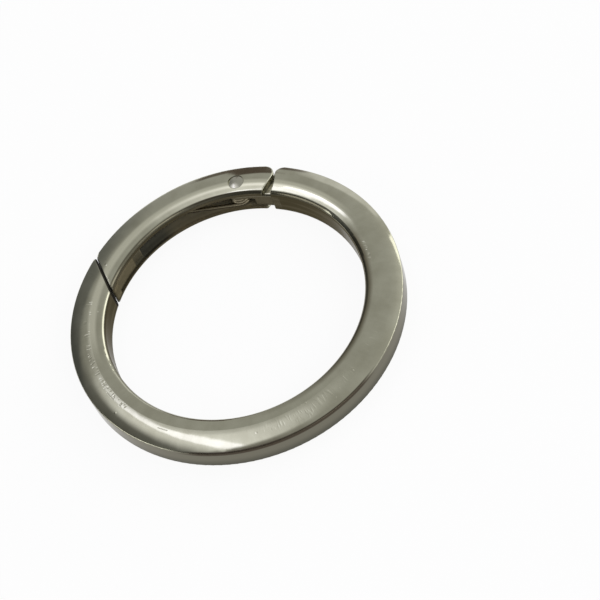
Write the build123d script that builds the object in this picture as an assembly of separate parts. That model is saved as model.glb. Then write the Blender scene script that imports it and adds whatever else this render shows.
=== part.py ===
from build123d import *
import os
from math import acos, cos, degrees, pi, radians, sin, sqrt

# Spring gate ring, in millimetres, lying flat. Z is the ring's axis and the origin is the centre
# of the loop at half its thickness. Angles run counter-clockwise from +X.

# Ring section
bore_diameter = 38.0
section_width = 5.35
inner_wall_height = 4.2
inner_edge_round = 0.75
crown_inset = 2.1
crown_thickness = 4.7
rim_height = 3.1
rim_edge_round = 0.2
end_edge_share = 0.8

# Hinge
hinge_angle = 67.8
rivet_diameter = 2.2
rivet_head_drop = 0.16
rivet_groove_width = 0.12
rivet_groove_depth = 0.3
rivet_seat_clearance = 0.02
rivet_running_clearance = 0.05

# Tongue on the body
tongue_web_clearance = 0.275
tongue_thickness = 2.4
tongue_root_depth = 3.0
tongue_edge_round = 0.4
tongue_seat_height = 0.45
tongue_relief_reach = 2.45
tongue_relief_round = 0.4
shoulder_gap = 0.2
shoulder_corner_round = 1.4

# Gate
gate_cheek_clearance = 0.15
gate_web_thickness = 0.9
gate_tail_reach = 5.35
gate_tail_slant = 31.0
gate_tail_round = 1.9
gate_tip_round = 2.3
gate_end_edge_round = 0.3
cavity_end_angle = 117.0
step_end_angle = 123.0
step_depth = 0.9
panel_end_angle = 137.5
panel_depth = 0.35

# Free end, where the gate meets the body
cut_angle = 135.0
cut_slant = 44.0
stop_gap = 0.08
body_tip_round = 0.35

# Closing spring
wire_diameter = 0.5
coil_place_share = 0.45
coil_pitch = 0.54
coil_turns = 2
coil_floor_gap = 0.1
short_leg_turn = 30.0
short_leg_length = 3.4
short_leg_hole_clearance = 0.06
long_leg_bend_length = 0.4
long_leg_web_gap = 0.05

# One overrun serves all cuts, and a finer one lets corner rounds cross the ring's walls
cut_overrun = 1.0
corner_overrun = 0.02

# Sizes that follow from the driving ones
bore_radius = bore_diameter / 2
outer_radius = bore_radius + section_width
end_edge_round = end_edge_share * rim_edge_round
web_radius = outer_radius - gate_web_thickness
hinge_radius = (bore_radius + web_radius) / 2
channel_room = web_radius - hinge_radius
tongue_width = 2 * (channel_room - tongue_web_clearance)
coil_mean_radius = rivet_diameter / 2 + coil_place_share * (channel_room - rivet_diameter / 2)
channel_height = tongue_thickness + 2 * gate_cheek_clearance
plan_outer = outer_radius + corner_overrun
plan_inner = bore_radius - corner_overrun


def polar(radius, angle, centre=Vector(0, 0)):
    """The plan point at a radius and an angle about a centre."""
    return centre + Vector(radius * cos(radians(angle)), radius * sin(radians(angle)))


def meet_circle(point, outward, radius):
    """Where a plan line that runs outward meets a circle about the ring's centre."""
    along = point.dot(outward)
    return point + outward * (sqrt(along**2 + radius**2 - point.dot(point)) - along)


# Plan directions at the hinge: outward, and along the tail towards the shoulder
hinge = polar(hinge_radius, hinge_angle)
hinge_out = polar(1, hinge_angle)
tail_way = polar(1, hinge_angle - 90)

# The gate's tail end is a slanted plane with a round outer corner
tail_point = hinge + tail_way * gate_tail_reach
tail_out = polar(1, hinge_angle - gate_tail_slant)
tail_in = polar(1, hinge_angle - gate_tail_slant + 90)
tail_corner = meet_circle(tail_point + tail_in * gate_tail_round, tail_out, plan_outer - gate_tail_round)

# The shoulder is struck from the rivet, so the swinging tail clears it
shoulder_radius = (tail_corner - hinge).length + gate_tail_round + shoulder_gap

# The oblique cut at the free end: a plan line that runs outward and back towards the hinge
cut_point = polar(bore_radius + section_width / 2, cut_angle)
cut_out = polar(1, cut_angle - cut_slant)
cut_to_gate = polar(1, cut_angle - cut_slant - 90)
face_point = cut_point + cut_to_gate * stop_gap


def ring_section():
    """Half-round section: straight inner wall, domed faces and a plain rim."""
    half_wall = inner_wall_height / 2
    half_rim = rim_height / 2
    half_crown = crown_thickness / 2
    crown_radius = bore_radius + crown_inset
    with BuildSketch(Plane.XZ) as section:
        with BuildLine():
            for side in (1, -1):
                crown = (crown_radius, side * half_crown)
                TangentArc(crown, (outer_radius, side * half_rim), tangent=(1, 0))
                TangentArc(crown, (bore_radius, side * half_wall), tangent=(-1, 0))
            Line((outer_radius, half_rim), (outer_radius, -half_rim))
            Line((bore_radius, -half_wall), (bore_radius, half_wall))
        make_face()
        corners = section.vertices().sort_by(Axis.X)
        fillet(corners[:2], inner_edge_round)
        fillet(section.vertices().group_by(Axis.X)[-1], rim_edge_round)
    return section.sketch


def whole_ring():
    """The ring before it is parted into body and gate."""
    return revolve(ring_section(), Axis.Z)


def prism(plan):
    """A plan outline as a block taller than the ring."""
    return extrude(plan, crown_thickness / 2 + cut_overrun, both=True)


def eased(solid, plan_point):
    """The solid with a fine round along the edges of the end face that holds a plan point."""
    edge = solid.edges().sort_by_distance(plan_point + Vector(0, 0, crown_thickness / 2))[0]
    return fillet(edge, end_edge_round)


def shoulder_meets(radius):
    """The plan point where the shoulder's arc crosses a circle about the ring's centre."""
    cosine = (hinge_radius**2 + radius**2 - shoulder_radius**2) / (2 * hinge_radius * radius)
    return polar(radius, hinge_angle - degrees(acos(cosine)))


def body_plan():
    """Plan of the body, from its oblique tip round to the hinge shoulder."""
    tip = meet_circle(cut_point, cut_out, plan_outer)
    heel = meet_circle(cut_point, cut_out, plan_inner)
    shoulder_top = shoulder_meets(plan_outer)
    shoulder_foot = shoulder_meets(plan_inner)
    shoulder_mid = hinge + (shoulder_top + shoulder_foot - hinge * 2).normalized() * shoulder_radius
    back_angle = cut_angle + (360 - cut_angle + hinge_angle) / 2
    with BuildSketch() as plan:
        with BuildLine():
            ThreePointArc(tip, polar(plan_outer, back_angle), shoulder_top)
            ThreePointArc(shoulder_top, shoulder_mid, shoulder_foot)
            ThreePointArc(shoulder_foot, polar(plan_inner, back_angle), heel)
            Line(heel, tip)
        make_face()
        fillet(plan.vertices().sort_by_distance(tip)[0], body_tip_round)
        fillet(plan.vertices().sort_by_distance(shoulder_top)[0], shoulder_corner_round)
    return plan.sketch


def gate_plan():
    """Plan of the gate, from its slanted tail to the oblique face that rests on the body."""
    tail_top = meet_circle(tail_point, tail_out, plan_outer)
    tail_foot = meet_circle(tail_point, tail_out, plan_inner)
    face_top = meet_circle(face_point, cut_out, plan_outer)
    face_foot = meet_circle(face_point, cut_out, plan_inner)
    mid_angle = (hinge_angle + cut_angle) / 2
    with BuildSketch() as plan:
        with BuildLine():
            ThreePointArc(tail_top, polar(plan_outer, mid_angle), face_top)
            Line(face_top, face_foot)
            ThreePointArc(face_foot, polar(plan_inner, mid_angle), tail_foot)
            Line(tail_foot, tail_top)
        make_face()
        fillet(plan.vertices().sort_by_distance(tail_top)[0], gate_tail_round)
        fillet(plan.vertices().sort_by_distance(face_top)[0], gate_tip_round)
        fillet(plan.vertices().sort_by_distance(face_foot)[0], gate_end_edge_round)
    return plan.sketch


def tongue():
    """The tongue that enters the gate, its lower half cleared for the spring round the rivet."""
    root_angle = hinge_angle - degrees((shoulder_radius + tongue_root_depth) / hinge_radius)
    path = CenterArc((0, 0), hinge_radius, root_angle, hinge_angle - root_angle)
    bar = extrude(SlotArc(path, tongue_width), tongue_thickness / 2, both=True)
    bar = fillet(bar.edges().filter_by(GeomType.CIRCLE).filter_by_position(Axis.Z, 0, tongue_thickness),
                 tongue_edge_round)
    side = Plane(origin=hinge, x_dir=tail_way, z_dir=-hinge_out)
    floor = -tongue_thickness / 2 - cut_overrun
    end = -tongue_width / 2 - cut_overrun
    with BuildSketch(side) as relief:
        with BuildLine():
            Polyline((end, floor), (tongue_relief_reach, floor), (tongue_relief_reach, tongue_seat_height),
                     (end, tongue_seat_height), close=True)
        make_face()
        inner_corner = side.from_local_coords(Vector(tongue_relief_reach, tongue_seat_height))
        fillet(relief.vertices().sort_by_distance(inner_corner)[0], tongue_relief_round)
    bar -= extrude(relief.sketch, tongue_width, both=True)
    return bar - rivet_hole(rivet_running_clearance) - short_leg_hole()


def rivet_hole(clearance):
    """A hole for the rivet right through the ring."""
    height = crown_thickness + 2 * cut_overrun
    return Pos(hinge) * Cylinder(rivet_diameter / 2 + clearance, height)


def ring_body():
    """C-shaped casting with its hinge tongue."""
    return eased(whole_ring() & prism(body_plan()), cut_point) + tongue()


def pocket(depth_radius, start_angle, end_angle):
    """A channel of even height cut outward from the loop to a radius, between two angles."""
    reach = bore_radius - cut_overrun
    with BuildSketch() as plan:
        with BuildLine():
            CenterArc((0, 0), depth_radius, start_angle, end_angle - start_angle)
            Line(polar(depth_radius, end_angle), polar(reach, end_angle))
            CenterArc((0, 0), reach, end_angle, start_angle - end_angle)
            Line(polar(reach, start_angle), polar(depth_radius, start_angle))
        make_face()
    return extrude(plan.sketch, channel_height / 2, both=True)


def rivet_grooves():
    """The fine groove round each rivet end."""
    top = Pos(0, 0, crown_thickness / 2)
    ring = Cylinder(rivet_diameter / 2 + rivet_groove_width, 2 * rivet_groove_depth)
    upper = Pos(hinge) * top * ring
    return upper + mirror(upper, Plane.XY)


def gate():
    """Hollow cast arm, stepped up to a solid end, with two cheeks round the tongue."""
    arm = eased(whole_ring() & prism(gate_plan()), face_point)
    arm = eased(arm, tail_point)
    tail_angle = hinge_angle - degrees((shoulder_radius + cut_overrun) / hinge_radius)
    arm -= pocket(web_radius, tail_angle, cavity_end_angle)
    arm -= pocket(bore_radius + step_depth, cavity_end_angle, step_end_angle)
    arm -= pocket(bore_radius + panel_depth, step_end_angle, panel_end_angle)
    return arm - rivet_hole(rivet_seat_clearance) - rivet_grooves()


def hinge_rivet():
    """Plain rivet, both ends peened to a low dome that lies flush with the crown."""
    radius = rivet_diameter / 2
    apex = crown_thickness / 2
    rim = apex - rivet_head_drop
    with BuildSketch(Plane.XZ) as half:
        with BuildLine():
            for side in (1, -1):
                TangentArc((0, side * apex), (radius, side * rim), tangent=(1, 0))
            Line((radius, rim), (radius, -rim))
            Line((0, -apex), (0, apex))
        make_face()
    return Pos(hinge) * revolve(half.sketch, Axis.Z)


# The coil rises from the long leg, at the loop side of the rivet, to the short leg in the tongue
coil_floor = -channel_height / 2 + coil_floor_gap + wire_diameter / 2
coil_rise = coil_pitch * (coil_turns + short_leg_turn / 360)
coil_slope = coil_pitch / (2 * pi * coil_mean_radius)


def coil_point(turned):
    """A point of the coil, by the angle that it has turned from the long leg."""
    place = polar(coil_mean_radius, hinge_angle + 180 + turned, hinge)
    return place + Vector(0, 0, coil_floor + coil_pitch * turned / 360)


def coil_way(turned):
    """The direction of the rising wire at that point."""
    return (polar(1, hinge_angle + 270 + turned) + Vector(0, 0, coil_slope)).normalized()


def short_leg():
    """The straight short leg, from the top of the coil into the tongue's root."""
    turned = 360 * coil_turns + short_leg_turn
    start = coil_point(turned)
    return Line(start, start + coil_way(turned) * short_leg_length)


def short_leg_hole():
    """The blind hole in the tongue's root that holds the short leg."""
    leg = short_leg()
    mouth = Plane(origin=leg @ 0, z_dir=leg % 0)
    depth = short_leg_length + short_leg_hole_clearance
    radius = wire_diameter / 2 + short_leg_hole_clearance
    return extrude(mouth * Circle(radius), depth)


def long_leg():
    """The long leg, eased level from the foot of the coil and straight to the gate's web."""
    start = coil_point(0)
    back = -coil_way(0)
    level = -polar(1, hinge_angle + 270)
    half_bend = (back.normalized() + level).normalized()
    bend_end = start + half_bend * long_leg_bend_length
    plan_start = Vector(bend_end.X, bend_end.Y)
    tip = meet_circle(plan_start, level, web_radius - wire_diameter / 2 - long_leg_web_gap)
    bend = TangentArc(start, bend_end, tangent=back)
    return bend, Line(bend_end, Vector(tip.X, tip.Y, bend_end.Z))


def closing_spring():
    """Torsion spring in round wire: long leg, coil and short leg."""
    bend, leg = long_leg()
    coil = Pos(hinge.X, hinge.Y, coil_floor) * Rot(Z=hinge_angle + 180)
    coil *= Helix(coil_pitch, coil_rise, coil_mean_radius)
    path = Wire([leg.edge(), bend.edge(), coil.edge(), short_leg().edge()])
    start = path.position_at(0)
    section = Plane(origin=start, z_dir=path.tangent_at(0)) * Circle(wire_diameter / 2)
    return sweep(section, path)


os.makedirs("parts", exist_ok=True)
pieces = {
    "ring_body": ring_body(),
    "gate": gate(),
    "hinge_rivet": hinge_rivet(),
    "closing_spring": closing_spring(),
}
for name, piece in pieces.items():
    export_step(piece, f"parts/{name}.step")
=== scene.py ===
from math import cos, pi, radians, sin

import bpy
from mathutils import Euler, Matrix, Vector


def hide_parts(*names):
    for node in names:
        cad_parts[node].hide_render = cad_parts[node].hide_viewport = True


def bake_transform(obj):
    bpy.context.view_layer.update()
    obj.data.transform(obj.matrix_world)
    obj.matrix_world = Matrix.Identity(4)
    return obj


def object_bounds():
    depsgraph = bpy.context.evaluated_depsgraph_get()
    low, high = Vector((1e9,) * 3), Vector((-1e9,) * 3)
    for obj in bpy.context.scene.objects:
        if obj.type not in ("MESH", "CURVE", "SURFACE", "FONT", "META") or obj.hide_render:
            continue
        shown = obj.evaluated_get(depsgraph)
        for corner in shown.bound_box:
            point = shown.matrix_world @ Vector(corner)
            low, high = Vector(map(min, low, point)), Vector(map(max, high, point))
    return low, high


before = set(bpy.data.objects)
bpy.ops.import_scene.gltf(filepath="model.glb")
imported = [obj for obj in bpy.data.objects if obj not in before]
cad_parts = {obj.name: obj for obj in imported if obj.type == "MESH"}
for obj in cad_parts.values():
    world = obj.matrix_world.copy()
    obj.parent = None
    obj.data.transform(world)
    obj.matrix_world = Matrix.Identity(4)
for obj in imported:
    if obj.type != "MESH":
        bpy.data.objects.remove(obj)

cad_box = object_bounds()

MM = 0.001


def mm(*values):
    """Millimetres as metres."""
    return tuple(value * MM for value in values)


# Sizes of the part that the looks refer to
BORE_RADIUS, CROWN_RADIUS, WEB_RADIUS = mm(19.0, 21.1, 23.45)
RIM_ROUND, RIM_ROUND_FOOT, RIM_ROUND_TOP = mm(0.2, 1.426, 1.606)
CHANNEL_HALF, TONGUE_HALF = mm(1.35, 1.2)

# Camera, from the outline of the ring in the photograph
IMAGE_SIZE = 600
CAMERA_TILT = 37.29
CAMERA_ROLL = -25.49
CAMERA_DISTANCE = 265.9 * MM
FOCAL_PIXELS = 1872.0
CENTRE_PIXEL = (236.3, 309.5)
SENSOR_WIDTH = 36.0
NEAREST_SEEN = 10 * MM

# Line of the cut on the ring's plane: a point on it and its direction from body to gate
CUT_POINT = mm(-15.327, 15.327)
CUT_TURN = 1.0

# Stretches of the ring: first turn, last turn and the length of the soft ends, in degrees from +X
CUT_STRETCH = (122.0, 148.0, 1.0)
HINGE_STRETCH = (46.0, 62.0, 2.0)
CUT_END_STRETCH = (122.0, 144.0, 1.0)
HINGE_END_STRETCH = (44.0, 60.0, 1.0)
TONGUE_STRETCH = (49.0, 76.0, 0.5)
DROP_STRETCH = (14.0, 104.0, 12.0)
CREASE_STRETCH = (238.0, 296.0, 10.0)
# Painted shade over the inner edge on the far side
SHADE_OVER_EDGE_STRETCH = (26.0, 140.0, 6.0)

# Soft changes along the ring, in degrees from +X
# Painted shade along the inner edge on the right: where it starts and ends
INNER_SHADE_START, INNER_SHADE_END = (245.0, 315.0), (0.0, 14.0)
# Painted shade in the channel: where it deepens towards the closed end, and where it stops
CHANNEL_DARKENS, CHANNEL_STOPS = (97.0, 106.0), (117.1, 117.4)
STEPS_START, SHELF_STOPS = (117.2, 117.5), (122.9, 123.2)

# Soft changes of radius
# The bore's edge, and the edges of the painted shade over the far inner edge and along the right inner edge
WALL_EDGE, SHADE_OVER_EDGE, INNER_SHADE_EDGE = mm(19.03, 19.2), mm(19.36, 19.52), mm(19.6, 20.4)
RIM_EDGE, OUTER_EDGE, CREASE_EDGE = mm(23.9, 24.0), mm(24.0, 24.02), mm(24.02, 24.16)
# Edges of the tongue, and of the painted highlight on its upper tip
TONGUE_EDGE, TONGUE_GLINT_EDGE = mm(23.2, 23.3), mm(19.5, 19.8)
CHANNEL_EDGE = (WEB_RADIUS + 0.02 * MM, WEB_RADIUS + 0.06 * MM)

# Soft changes of height, or of distance from the middle plane
RIM_TOP, RIM_FOOT_RISE, CREASE_RISE = mm(1.4, 1.56), mm(-1.5, 0.3), mm(1.0, 1.25)
ROUND_TOP = (RIM_ROUND_TOP - 0.006 * MM, RIM_ROUND_TOP)
# Rises of the tongue's lit top and of the painted highlight on its upper tip
TONGUE_RISE, TONGUE_GLINT_RISE = mm(1.0, 1.15), mm(0.75, 0.95)
TONGUE_SIDE = (TONGUE_HALF - 0.02 * MM, TONGUE_HALF + 0.02 * MM)
CHANNEL_SIDE = (CHANNEL_HALF - 0.02 * MM, CHANNEL_HALF + 0.03 * MM)
BORDER_SIDE = (CHANNEL_HALF - 0.2 * MM, CHANNEL_HALF - 0.1 * MM)

# Painted shade in the joint at the cut and softened lips there, as distances past its line with soft ends,
# and widths of soft edges
JOINT_SHADE = mm(-0.2, 0.2, 0.08)
CUT_LIPS = mm(-0.5, 0.6, 0.1)
CUT_BEVEL, HINGE_BEVEL = mm(0.42, 0.15)

# Places on the face: first and last turn with soft ends in degrees, least and largest radius with soft ends
# in millimetres, and for worn places the share of wear
WORN_PLACES = ((173, 202, 5.0, 21.4, 21.7, 0.3, 1.0), (150, 164, 3.0, 21.3, 21.9, 0.3, 0.45),
               (264, 322, 6.0, 21.8, 22.5, 0.5, 0.22), (350, 358, 2.0, 20.15, 20.4, 0.1, 1.0),
               (272.5, 278.5, 1.0, 21.2, 23.2, 0.3, 0.3))
SCRATCH_PLACE = (220.8, 224.4, 0.3, 21.86, 21.9, 0.05)
# Painted sheen: the crown on the far half is painted brighter, as its highlight
SHEEN_PLACE = (30.0, 162.0, 22.0, 20.55, 21.12, 0.55)

# Small dents and specks: turn in degrees, radius and size in millimetres, height in micrometres
DENTS = ((131.8, 21.48, 0.3, 25.0), (202.4, 23.0, 0.22, 18.0), (154.7, 20.1, 0.2, -20.0),
         (288.0, 23.3, 0.25, 14.0), (298.7, 22.25, 0.2, -14.0), (84.0, 22.1, 0.22, -10.0),
         (258.0, 22.4, 0.2, 12.0))

# Heights of the wear, and the slope by which the face's inner half falls off more on the far side
WAVE_HEIGHT, LINE_HEIGHT, FLECK_DEPTH, SCRATCH_DEPTH = mm(0.07, 0.0012, 0.02, 0.02)
DROP_RADIUS, DROP_CURVE = mm(21.2, 0.7)
DROP_SLOPE = 0.1

# Scales of the noises, per metre
WAVE_SCALE, LINE_SCALE, GRAIN_SCALE, SPREAD_SCALE = 130.0, 4200.0, 3600.0, 700.0
CLOUD_SCALE, CLOUD_LINE_SCALE, STREAK_SCALE, BLOT_SCALE = 300.0, 1500.0, 1100.0, 900.0
RIVET_SCALE, WIRE_SCALE = 900.0, 700.0

# Colours, as linear red, green and blue
NICKEL = (0.435, 0.43, 0.335)
# Painted sheen on the crown
SHEEN_NICKEL = (0.6, 0.59, 0.465)
NICKEL_DARK = (0.35, 0.342, 0.258)
# Painted shade on the outer wall, darker towards its foot, and in a line along its crease on the near side
SHADED_RIM_NICKEL = (0.165, 0.157, 0.122)
RIM_FOOT_SHADE = (0.09, 0.088, 0.07)
CREASE_SHADE = (0.05, 0.036, 0.024)
# Painted shade in the bore, with lighter streaks of uneven tone
WALL = (0.05, 0.042, 0.024)
WALL_LIGHT = (0.105, 0.09, 0.06)
# Brown of the painted shade along the right inner edge and on the tongue's sides
SHADE_BROWN = (0.13, 0.112, 0.07)
CHANNEL = (0.33, 0.27, 0.16)
# Painted light on the tongue's top
LIT_TONGUE_TOP = (0.4, 0.35, 0.24)
# Near black of the painted shade in the joint and at the channel's closed end
SHADE_BLACK = (0.015, 0.013, 0.01)
PANEL = (0.15, 0.127, 0.075)
STEEL = (0.46, 0.45, 0.37)
WIRE = (0.29, 0.255, 0.175)
WHITE = (1.0, 1.0, 1.0)
DULL_GLOSS = (0.62, 0.6, 0.55)
FLOOR_COLOUR = (0.94, 0.94, 0.94)
COOL_DARK = (0.06, 0.068, 0.075)
WARM_DARK = (0.11, 0.075, 0.055)

# Roughness of the metals
NICKEL_ROUGHNESS, RIVET_ROUGHNESS, WIRE_ROUGHNESS = 0.06, 0.18, 0.25
LINE_ROUGHNESS, WORN_ROUGHNESS, DARK_PAINTED_ROUGHNESS = 0.04, 0.04, 0.3

# Floor: its radius, and how white it looks to the camera and in reflections
FLOOR_RADIUS = 1.2
FLOOR_GLOW = 0.92

# Lamps: name, turn and rise in degrees, width and height in metres, radiance
LAMP_DISTANCE = 1.1
LAMPS = (("left", 182.0, 20.0, (0.7, 0.6), 2.0), ("right", 8.0, 20.0, (1.2, 0.6), 1.7),
         ("front", 296.0, 38.0, (0.6, 0.4), 1.8))

# Studio walls from left to right: place on the ramp and tone
STUDIO_TONES = ((0.1, 0.14), (0.22, 0.24), (0.32, 0.5), (0.5, 0.6), (0.7, 0.64), (0.78, 0.72), (0.87, 0.95))

# Soft box on a ceiling one unit above the ring: its strip slants, and its glow spreads to both sides
STRIP_PLACE, STRIP_SLANT = 0.259, -0.086
GLOW_PLACE, GLOW_SLANT = 0.219, 0.114
STRIP = (-0.08, 0.025, 0.02)
BOX_NEAR_END, STRIP_FAR_END, GLOW_FAR_END = (-0.2, -0.08), (0.65, 0.73), (0.46, 0.94)
GLOW_LEFT, GLOW_RIGHT = (-0.48, -0.08), (0.0, 0.5)
GLOW_LEVEL, STRIP_LEVEL, CARD_LEVEL = 0.95, 1.1, 0.4
GLOW_BLUE, STRIP_BLUE = 1.12, 0.25

# Dark screens and a pale card beside the ring: turns in degrees with soft ends, and rises
SCREEN_TURNS, SCREEN_TOP = (75.5, 82.0, 1.0), (0.42, 0.48)
SKIRT_TURNS, SKIRT_TOP = (69.0, 86.0, 2.0), (0.16, 0.25)
CARD_TURNS, CARD_RISES = (50.0, 66.0, 6.0), (0.14, 0.4, 0.08)

# Dark parts of the ceiling: one at the near left and one at the far left
SHADE_AHEAD, SHADE_RIGHT, SHADE_LEFT, SHADE_UP = (-0.3, -0.1), (-0.3, 0.35), (-0.9, -0.35), (0.45, 0.65)
FAR_LEFT_AHEAD, FAR_LEFT_RIGHT = (0.95, 1.35), (-0.3, 0.03)
SHADE_SHARE, SCREEN_SHARE, SKIRT_SHARE, FAR_LEFT_SHARE = 0.6, 0.9, 0.8, 0.6
LEAST_RISE = 0.03


def node_tree(material):
    """The material's cleared node tree, with its output and a metal shader joined up."""
    material.use_nodes = True
    tree = material.node_tree
    tree.nodes.clear()
    output = tree.nodes.new("ShaderNodeOutputMaterial")
    shader = tree.nodes.new("ShaderNodeBsdfPrincipled")
    shader.inputs["Metallic"].default_value = 1.0
    tree.links.new(shader.outputs["BSDF"], output.inputs["Surface"])
    return tree, shader


def feed(tree, socket, value):
    """Gives a socket a number, a colour or a link."""
    if isinstance(value, (int, float)):
        socket.default_value = value
    elif isinstance(value, tuple):
        socket.default_value = (*value, 1.0)
    else:
        tree.links.new(value, socket)


def math_node(tree, operation, *values):
    """A math node on numbers or sockets; returns its output."""
    node = tree.nodes.new("ShaderNodeMath")
    node.operation = operation
    for socket, value in zip(node.inputs, values):
        feed(tree, socket, value)
    return node.outputs[0]


def chain(tree, operation, values):
    """One operation on several values in turn."""
    result = values[0]
    for value in values[1:]:
        result = math_node(tree, operation, result, value)
    return result


def product(tree, *values):
    """The product of several values."""
    return chain(tree, "MULTIPLY", values)


def total(tree, *values):
    """The sum of several values."""
    return chain(tree, "ADD", values)


def largest(tree, *values):
    """The largest of several values."""
    return chain(tree, "MAXIMUM", values)


def ramp(tree, value, low, high):
    """Rises smoothly from 0 at low to 1 at high."""
    node = tree.nodes.new("ShaderNodeMapRange")
    node.interpolation_type = "SMOOTHSTEP"
    node.inputs["From Min"].default_value = low
    node.inputs["From Max"].default_value = high
    feed(tree, node.inputs["Value"], value)
    return node.outputs[0]


def fall(tree, value, low, high):
    """Falls smoothly from 1 at low to 0 at high."""
    return math_node(tree, "SUBTRACT", 1.0, ramp(tree, value, low, high))


def window(tree, value, low, high, soft):
    """One between low and high, with soft ends outside."""
    return product(tree, ramp(tree, value, low - soft, low), fall(tree, value, high, high + soft))


def noise(tree, place, scale, detail=2.0):
    """A noise value between 0 and 1."""
    node = tree.nodes.new("ShaderNodeTexNoise")
    node.inputs["Scale"].default_value = scale
    node.inputs["Detail"].default_value = detail
    tree.links.new(place, node.inputs["Vector"])
    return node.outputs["Fac"]


def mixed(tree, kind, share, first, second):
    """The mix of two colours or vectors by a share."""
    node = tree.nodes.new("ShaderNodeMix")
    node.data_type = kind
    feed(tree, node.inputs["Factor"], share)
    feed(tree, node.inputs["A"], first)
    feed(tree, node.inputs["B"], second)
    return node.outputs["Result"]


def mix_colour(tree, share, first, second):
    """The mix of two colours by a share."""
    return mixed(tree, "RGBA", share, first, second)


def vector(tree, x, y, z):
    """A vector from its three parts."""
    node = tree.nodes.new("ShaderNodeCombineXYZ")
    for socket, value in zip(node.inputs, (x, y, z)):
        feed(tree, socket, value)
    return node.outputs[0]


class RingPlace:
    """Where a point lies on the ring: radius, height, turn in degrees, distance past the cut's line,
    and two stretched places for marks that run along or across the ring."""

    def __init__(self, tree):
        self.place = tree.nodes.new("ShaderNodeTexCoord").outputs["Object"]
        parts = tree.nodes.new("ShaderNodeSeparateXYZ")
        tree.links.new(self.place, parts.inputs[0])
        self.across, self.ahead, self.height = parts.outputs
        self.level = math_node(tree, "ABSOLUTE", self.height)
        square = total(tree, product(tree, self.across, self.across), product(tree, self.ahead, self.ahead))
        self.radius = math_node(tree, "SQRT", square)
        turn = math_node(tree, "ARCTAN2", self.ahead, self.across)
        self.turn = math_node(tree, "MODULO", total(tree, product(tree, turn, 180 / pi), 360.0), 360.0)

        way = (cos(radians(CUT_TURN)), sin(radians(CUT_TURN)))
        self.past_cut = total(tree, product(tree, self.across, way[0]), product(tree, self.ahead, way[1]),
                              -CUT_POINT[0] * way[0] - CUT_POINT[1] * way[1])
        self.at_cut = window(tree, self.turn, *CUT_STRETCH)
        self.unrolled = vector(tree, product(tree, turn, BORE_RADIUS / 12), self.radius, self.height)
        self.across_ring = vector(tree, product(tree, turn, CROWN_RADIUS), product(tree, self.radius, 0.2),
                                  product(tree, self.height, 0.2))


def place_share(tree, at, place):
    """One within a place on the face and nothing outside it, with soft ends."""
    first, last, turn_soft, inner, outer, soft = place
    return product(tree, window(tree, at.turn, first, last, turn_soft),
                   window(tree, at.radius, *mm(inner, outer, soft)))


def dents(tree, at):
    """Height of the small dents and specks."""
    heights = []
    for turn, radius, size, height in DENTS:
        aside = product(tree, total(tree, at.turn, -turn), radians(radius * MM))
        out = total(tree, at.radius, -radius * MM)
        square = total(tree, product(tree, aside, aside), product(tree, out, out))
        share = fall(tree, math_node(tree, "SQRT", square), 0.0, size * MM)
        heights.append(product(tree, share, height * MM * MM))
    return total(tree, *heights)


def far_drop(tree, at):
    """Height by which the inner half of the face falls off a little more on the far side."""
    inward = math_node(tree, "MAXIMUM", math_node(tree, "SUBTRACT", DROP_RADIUS, at.radius), 0.0)
    curved = math_node(tree, "MINIMUM", inward, DROP_CURVE)
    drop = total(tree, product(tree, curved, curved, 0.5 / DROP_CURVE), inward, product(tree, curved, -1.0))
    return product(tree, drop, window(tree, at.turn, *DROP_STRETCH), -DROP_SLOPE)


def wear_height(tree, at):
    """Height of the worn surface, with the height of its polishing lines and the share of wear."""
    waves = product(tree, noise(tree, at.place, WAVE_SCALE), WAVE_HEIGHT)
    lines = product(tree, noise(tree, at.across_ring, LINE_SCALE, 3.0), LINE_HEIGHT)
    grain = ramp(tree, noise(tree, at.across_ring, GRAIN_SCALE, 0.0), 0.5, 0.62)
    spread = ramp(tree, noise(tree, at.place, SPREAD_SCALE, 1.0), 0.36, 0.52)
    worn = largest(tree, *(product(tree, place_share(tree, at, place), share)
                           for *place, share in WORN_PLACES))
    flecks = product(tree, grain, spread, worn, -FLECK_DEPTH)
    scratch = product(tree, place_share(tree, at, SCRATCH_PLACE), -SCRATCH_DEPTH)
    return total(tree, waves, lines, flecks, scratch, far_drop(tree, at), dents(tree, at)), lines, worn


def smooth_rim(tree, at, normal):
    """The normal, but on the outer wall and its round taken from the height, to hide the fine facets."""
    lean = math_node(tree, "DIVIDE", total(tree, at.level, -RIM_ROUND_FOOT), RIM_ROUND)
    lean = math_node(tree, "MINIMUM", math_node(tree, "MAXIMUM", lean, 0.0), 0.95)
    level = math_node(tree, "SQRT", math_node(tree, "SUBTRACT", 1.0, product(tree, lean, lean)))
    level = math_node(tree, "DIVIDE", level, at.radius)
    turned = tree.nodes.new("ShaderNodeVectorTransform")
    turned.vector_type = "NORMAL"
    turned.convert_from = "OBJECT"
    turned.convert_to = "WORLD"
    upward = product(tree, lean, math_node(tree, "SIGN", at.height))
    outward = vector(tree, product(tree, at.across, level), product(tree, at.ahead, level), upward)
    feed(tree, turned.inputs[0], outward)
    ends = largest(tree, window(tree, at.turn, *HINGE_END_STRETCH), window(tree, at.turn, *CUT_END_STRETCH))
    outer = product(tree, ramp(tree, at.radius, *OUTER_EDGE), fall(tree, at.level, *ROUND_TOP),
                    math_node(tree, "SUBTRACT", 1.0, ends))
    return mixed(tree, "VECTOR", outer, normal, turned.outputs[0])


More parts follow.
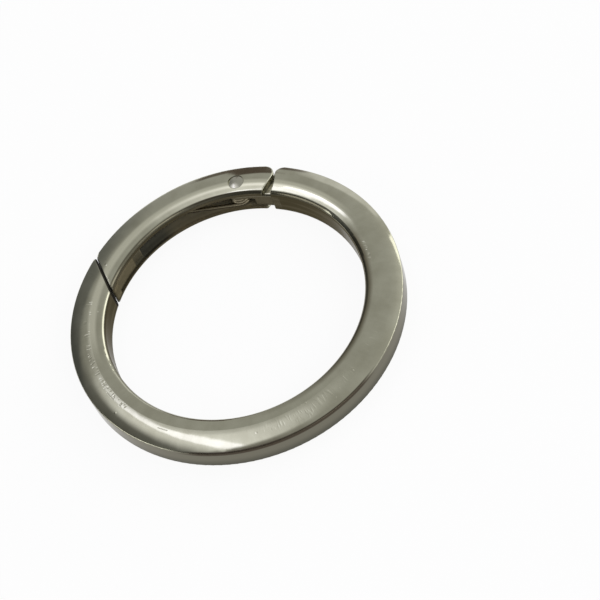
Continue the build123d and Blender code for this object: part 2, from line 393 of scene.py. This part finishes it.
def surface_normal(tree, at, height):
    """The normal of the worn surface, with softened edges at the cut and at the hinge."""
    soft_edge = tree.nodes.new("ShaderNodeBevel")
    soft_edge.samples = 6
    near_cut = product(tree, at.at_cut, window(tree, at.past_cut, *CUT_LIPS), CUT_BEVEL)
    at_hinge = product(tree, window(tree, at.turn, *HINGE_STRETCH), HINGE_BEVEL)
    feed(tree, soft_edge.inputs["Radius"], largest(tree, near_cut, at_hinge))
    bump = tree.nodes.new("ShaderNodeBump")
    bump.inputs["Distance"].default_value = 1.0
    feed(tree, bump.inputs["Height"], height)
    feed(tree, bump.inputs["Normal"], smooth_rim(tree, at, soft_edge.outputs[0]))
    return bump.outputs[0]


def face_colour(tree, at):
    """Uneven nickel with a painted sheen on the crown of the far half and painted shade along the right inner
    edge.
    """
    cloud = total(tree, product(tree, noise(tree, at.place, CLOUD_SCALE, 5.0), 0.85),
                  product(tree, noise(tree, at.across_ring, CLOUD_LINE_SCALE, 3.0), 0.15))
    colour = mix_colour(tree, ramp(tree, cloud, 0.25, 0.75), NICKEL_DARK, NICKEL)
    # Painted sheen: the crown on the far half painted brighter
    colour = mix_colour(tree, place_share(tree, at, SHEEN_PLACE), colour, SHEEN_NICKEL)
    # Painted shade along the inner edge on the right
    right = largest(tree, ramp(tree, at.turn, *INNER_SHADE_START), fall(tree, at.turn, *INNER_SHADE_END))
    inner_shade = product(tree, right, fall(tree, at.radius, *INNER_SHADE_EDGE), 0.85)
    return mix_colour(tree, inner_shade, colour, SHADE_BROWN)


def with_rim(tree, at, colour):
    """The colour with the outer wall in painted shade, darkest towards its foot, and painted shade in a line
    at its upper edge on the near side, and their shares.
    """
    # Painted shade: the outer wall darker, and darker still towards its foot
    rim = product(tree, ramp(tree, at.radius, *RIM_EDGE), fall(tree, at.level, *RIM_TOP))
    foot_shade = fall(tree, at.height, *RIM_FOOT_RISE)
    colour = mix_colour(tree, rim, colour, mix_colour(tree, foot_shade, SHADED_RIM_NICKEL, RIM_FOOT_SHADE))
    # Painted shade in a line along the crease on the near side
    crease_shade = product(tree, window(tree, at.turn, *CREASE_STRETCH), ramp(tree, at.radius, *CREASE_EDGE),
                     ramp(tree, at.height, *CREASE_RISE))
    return mix_colour(tree, product(tree, crease_shade, 0.9), colour, CREASE_SHADE), rim, crease_shade


def with_bore(tree, at, colour):
    """The colour with the bore in painted shade, which runs over the inner edge on the far side, with lighter
    streaks of uneven tone, and the bore's share.
    """
    far = product(tree, window(tree, at.turn, *SHADE_OVER_EDGE_STRETCH), 0.8)
    wall = largest(tree, fall(tree, at.radius, *WALL_EDGE),
                   product(tree, far, fall(tree, at.radius, *SHADE_OVER_EDGE)))
    streak = ramp(tree, noise(tree, at.unrolled, STREAK_SCALE, 2.0), 0.45, 0.7)
    light_and_shade_colour = mix_colour(tree, product(tree, streak, 0.6), WALL, WALL_LIGHT)
    return mix_colour(tree, wall, colour, light_and_shade_colour), wall


def nickel_material(name, deep):
    """Worn nickel plate, with painted shade on the rim, in the bore and in the joint at the cut, and a
    painted sheen on the crown; deep gives the inside's share and colour.
    """
    material = bpy.data.materials.new(name)
    tree, shader = node_tree(material)
    at = RingPlace(tree)
    height, lines, worn = wear_height(tree, at)
    colour, rim, crease_shade = with_rim(tree, at, face_colour(tree, at))
    colour, wall = with_bore(tree, at, colour)
    # Painted shade in the joint at the cut
    joint_shade = product(tree, at.at_cut, window(tree, at.past_cut, *JOINT_SHADE))
    colour = mix_colour(tree, product(tree, joint_shade, 0.97), colour, SHADE_BLACK)
    # The inside's colour holds painted light and shade
    inside, light_and_shade_colour = deep(tree, at)
    blot = ramp(tree, noise(tree, at.unrolled, BLOT_SCALE, 3.0), 0.3, 0.65)
    colour = mix_colour(tree, inside, colour, mix_colour(tree, product(tree, blot, 0.35), light_and_shade_colour, WALL))
    feed(tree, shader.inputs["Base Color"], colour)

    # The inside and the joint are matt, the bore and the rim have a duller gloss
    matt = largest(tree, inside, joint_shade)
    feed(tree, shader.inputs["Metallic"], fall(tree, matt, 0.0, 1.2))
    feed(tree, shader.inputs["Specular IOR Level"], product(tree, fall(tree, matt, 0.0, 0.95), 0.5))
    dull = largest(tree, wall, product(tree, rim, 0.6))
    feed(tree, shader.inputs["Specular Tint"], mix_colour(tree, dull, WHITE, DULL_GLOSS))
    # Rougher where shade is painted, and on the inside
    dark_painted = largest(tree, inside, product(tree, wall, 0.5), product(tree, crease_shade, 0.6))
    roughness = total(tree, NICKEL_ROUGHNESS, product(tree, lines, LINE_ROUGHNESS / LINE_HEIGHT),
                      product(tree, worn, WORN_ROUGHNESS), product(tree, dark_painted, DARK_PAINTED_ROUGHNESS))
    feed(tree, shader.inputs["Roughness"], roughness)
    feed(tree, shader.inputs["Normal"], surface_normal(tree, at, height))
    return material


def body_inside(tree, at):
    """The tongue, in painted shade on its sides, painted lighter on its top as painted light, and with a
    painted highlight on its upper tip, where the face's nickel shows.
    """
    tongue = product(tree, fall(tree, at.level, *TONGUE_SIDE), window(tree, at.turn, *TONGUE_STRETCH),
                     fall(tree, at.radius, *TONGUE_EDGE))
    # Painted light on the tongue's top, and a painted highlight on its upper tip
    lit_top = product(tree, tongue, ramp(tree, at.height, *TONGUE_RISE))
    glint = product(tree, ramp(tree, at.height, *TONGUE_GLINT_RISE), fall(tree, at.radius, *TONGUE_GLINT_EDGE))
    tongue = product(tree, tongue, math_node(tree, "SUBTRACT", 0.9, product(tree, glint, 0.8)))
    return tongue, mix_colour(tree, lit_top, SHADE_BROWN, LIT_TONGUE_TOP)


def gate_inside(tree, at):
    """The channel, with painted shade that deepens towards its closed end, and the two steps after it, with
    painted shade on the first step and along the border by the cheeks.
    """
    channel = product(tree, fall(tree, at.level, *CHANNEL_SIDE), fall(tree, at.radius, *CHANNEL_EDGE))
    # Painted shade, deepening towards the channel's closed end
    end_shade = product(tree, ramp(tree, at.turn, *CHANNEL_DARKENS), fall(tree, at.turn, *CHANNEL_STOPS))
    light_and_shade_colour = mix_colour(tree, end_shade, CHANNEL, SHADE_BLACK)
    steps = ramp(tree, at.turn, *STEPS_START)
    # Painted shade on the first step and along the border by the cheeks
    shelf = product(tree, steps, fall(tree, at.turn, *SHELF_STOPS), 0.6)
    border = product(tree, steps, ramp(tree, at.level, *BORDER_SIDE), 0.7)
    panel = mix_colour(tree, largest(tree, shelf, border), PANEL, WALL)
    return product(tree, channel, 0.9), mix_colour(tree, steps, light_and_shade_colour, panel)


def plain_steel(name, colour, roughness, scale):
    """Plain metal with uneven tone."""
    material = bpy.data.materials.new(name)
    tree, shader = node_tree(material)
    place = tree.nodes.new("ShaderNodeTexCoord").outputs["Object"]
    dark = tuple(0.7 * part for part in colour)
    feed(tree, shader.inputs["Base Color"], mix_colour(tree, noise(tree, place, scale, 3.0), dark, colour))
    shader.inputs["Roughness"].default_value = roughness
    return material


def paint(piece, material):
    """Gives a piece one material."""
    piece.data.materials.clear()
    piece.data.materials.append(material)


def bent_spring():
    """The spring as a copy of the CAD spring's mesh, in its own piece, with the CAD spring hidden."""
    spring = bpy.data.objects.new("spring_wire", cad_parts["closing_spring"].data.copy())
    bpy.context.scene.collection.objects.link(spring)
    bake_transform(spring)
    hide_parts("closing_spring")
    return spring


def add_camera():
    """A camera that sees the ring as the photograph does."""
    data = bpy.data.cameras.new("camera")
    camera = bpy.data.objects.new("camera", data)
    bpy.context.scene.collection.objects.link(camera)
    camera.rotation_mode = "ZYX"
    camera.rotation_euler = (radians(CAMERA_TILT), 0, radians(CAMERA_ROLL))
    back = Vector((0, 0, CAMERA_DISTANCE))
    back.rotate(Euler((radians(CAMERA_TILT), 0, 0)))
    camera.location = back
    data.sensor_width = SENSOR_WIDTH
    data.lens = FOCAL_PIXELS / IMAGE_SIZE * SENSOR_WIDTH
    data.shift_x = 0.5 - CENTRE_PIXEL[0] / IMAGE_SIZE
    data.shift_y = CENTRE_PIXEL[1] / IMAGE_SIZE - 0.5
    data.clip_start = NEAREST_SEEN
    bpy.context.scene.camera = camera


def add_floor():
    """A plain white floor under the ring, which keeps a soft shadow."""
    bpy.ops.mesh.primitive_circle_add(vertices=96, radius=FLOOR_RADIUS, fill_type="NGON",
                                      location=(0, 0, cad_box[0][2]))
    floor = bpy.context.object
    floor.name = "floor"
    material = bpy.data.materials.new("floor")
    material.use_nodes = True
    tree = material.node_tree
    shader = tree.nodes["Principled BSDF"]
    shader.inputs["Base Color"].default_value = (*FLOOR_COLOUR, 1.0)
    shader.inputs["Roughness"].default_value = 0.9
    shader.inputs["Specular IOR Level"].default_value = 0.1
    white = tree.nodes.new("ShaderNodeEmission")
    rays = tree.nodes.new("ShaderNodeLightPath").outputs
    seen = largest(tree, rays["Is Camera Ray"], rays["Is Glossy Ray"], rays["Is Transmission Ray"])
    both = tree.nodes.new("ShaderNodeMixShader")
    feed(tree, both.inputs[0], product(tree, seen, FLOOR_GLOW))
    tree.links.new(shader.outputs[0], both.inputs[1])
    tree.links.new(white.outputs[0], both.inputs[2])
    tree.links.new(both.outputs[0], tree.nodes["Material Output"].inputs["Surface"])
    paint(floor, material)


def add_light(name, turn, rise, size, radiance):
    """A flat lamp of a width and a height, turned to the ring, with an even radiance."""
    data = bpy.data.lights.new(name, "AREA")
    data.shape = "RECTANGLE"
    data.size, data.size_y = size
    data.energy = radiance * pi * size[0] * size[1]
    light = bpy.data.objects.new(name, data)
    bpy.context.scene.collection.objects.link(light)
    turn, rise = radians(turn), radians(rise)
    place = LAMP_DISTANCE * Vector((cos(rise) * cos(turn), cos(rise) * sin(turn), sin(rise)))
    light.location = place
    light.rotation_euler = (-place).to_track_quat("-Z", "Y").to_euler()


def studio_tones(tree, right):
    """Grey of the studio, dim on the left and pale on the right."""
    tones = tree.nodes.new("ShaderNodeValToRGB")
    feed(tree, tones.inputs[0], total(tree, product(tree, right, 0.5), 0.5))
    elements = tones.color_ramp.elements
    while len(elements) < len(STUDIO_TONES):
        elements.new(0.5)
    for element, (place, level) in zip(elements, STUDIO_TONES):
        element.position = place
        element.color = (level, level, level, 1.0)
    return tones.outputs[0]


def soft_box(tree, right, ahead):
    """Shares of the soft box's glow and of the bright strip in it, on the ceiling."""
    off = total(tree, right, product(tree, ahead, STRIP_SLANT), STRIP_PLACE)
    left = total(tree, right, product(tree, ahead, GLOW_SLANT), GLOW_PLACE)
    near = ramp(tree, ahead, *BOX_NEAR_END)
    along = product(tree, near, fall(tree, ahead, *STRIP_FAR_END))
    skewed = total(tree, ahead, math_node(tree, "MAXIMUM", off, 0.0))
    glow = product(tree, ramp(tree, left, *GLOW_LEFT), fall(tree, off, *GLOW_RIGHT), near,
                   fall(tree, skewed, *GLOW_FAR_END))
    return glow, product(tree, window(tree, off, *STRIP), along)


def lamp_colour(tree, glow, strip, card):
    """Colour of the soft box and of the pale card, slightly blue."""
    bright = total(tree, product(tree, glow, GLOW_LEVEL), product(tree, strip, STRIP_LEVEL),
                   product(tree, card, CARD_LEVEL))
    lamp = tree.nodes.new("ShaderNodeCombineColor")
    feed(tree, lamp.inputs["Red"], bright)
    feed(tree, lamp.inputs["Green"], bright)
    blue = total(tree, product(tree, bright, GLOW_BLUE), product(tree, strip, STRIP_BLUE))
    feed(tree, lamp.inputs["Blue"], blue)
    return lamp.outputs[0]


def add_world():
    """A studio that is dim on the left and pale on the right, with a long soft box overhead."""
    world = bpy.data.worlds.new("studio")
    bpy.context.scene.world = world
    world.use_nodes = True
    tree = world.node_tree
    parts = tree.nodes.new("ShaderNodeSeparateXYZ")
    tree.links.new(tree.nodes.new("ShaderNodeTexCoord").outputs["Generated"], parts.inputs[0])
    right, ahead, up = parts.outputs

    # Places on a ceiling one unit above the ring, and turns round it
    rise = math_node(tree, "MAXIMUM", up, LEAST_RISE)
    ceiling_right = math_node(tree, "DIVIDE", right, rise)
    ceiling_ahead = math_node(tree, "DIVIDE", ahead, rise)
    turn = product(tree, math_node(tree, "ARCTAN2", ahead, right), 180 / pi)

    shade = product(tree, fall(tree, ceiling_ahead, *SHADE_AHEAD), fall(tree, ceiling_right, *SHADE_RIGHT),
                    ramp(tree, ceiling_right, *SHADE_LEFT), ramp(tree, up, *SHADE_UP))
    screen = product(tree, window(tree, turn, *SCREEN_TURNS), fall(tree, up, *SCREEN_TOP))
    skirt = product(tree, window(tree, turn, *SKIRT_TURNS), fall(tree, up, *SKIRT_TOP))
    far_left = product(tree, ramp(tree, ceiling_ahead, *FAR_LEFT_AHEAD), fall(tree, right, *FAR_LEFT_RIGHT))
    base = mix_colour(tree, product(tree, far_left, FAR_LEFT_SHARE), studio_tones(tree, right), COOL_DARK)
    dark = largest(tree, product(tree, shade, SHADE_SHARE), product(tree, screen, SCREEN_SHARE),
                   product(tree, skirt, SKIRT_SHARE))
    base = mix_colour(tree, dark, base, WARM_DARK)

    glow, strip = soft_box(tree, ceiling_right, ceiling_ahead)
    card = product(tree, window(tree, turn, *CARD_TURNS), window(tree, up, *CARD_RISES))
    lit = tree.nodes.new("ShaderNodeMix")
    lit.data_type = "RGBA"
    lit.blend_type = "ADD"
    feed(tree, lit.inputs["Factor"], 1.0)
    feed(tree, lit.inputs["A"], base)
    feed(tree, lit.inputs["B"], lamp_colour(tree, glow, strip, card))
    tree.links.new(lit.outputs["Result"], tree.nodes["Background"].inputs["Color"])


paint(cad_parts["ring_body"], nickel_material("body_nickel", body_inside))
paint(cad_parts["gate"], nickel_material("gate_nickel", gate_inside))
paint(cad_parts["hinge_rivet"], plain_steel("rivet_steel", STEEL, RIVET_ROUGHNESS, RIVET_SCALE))
paint(bent_spring(), plain_steel("spring_wire", WIRE, WIRE_ROUGHNESS, WIRE_SCALE))

add_camera()
add_floor()
add_world()
for lamp in LAMPS:
    add_light(*lamp)

bpy.context.scene.view_settings.view_transform = "Standard"
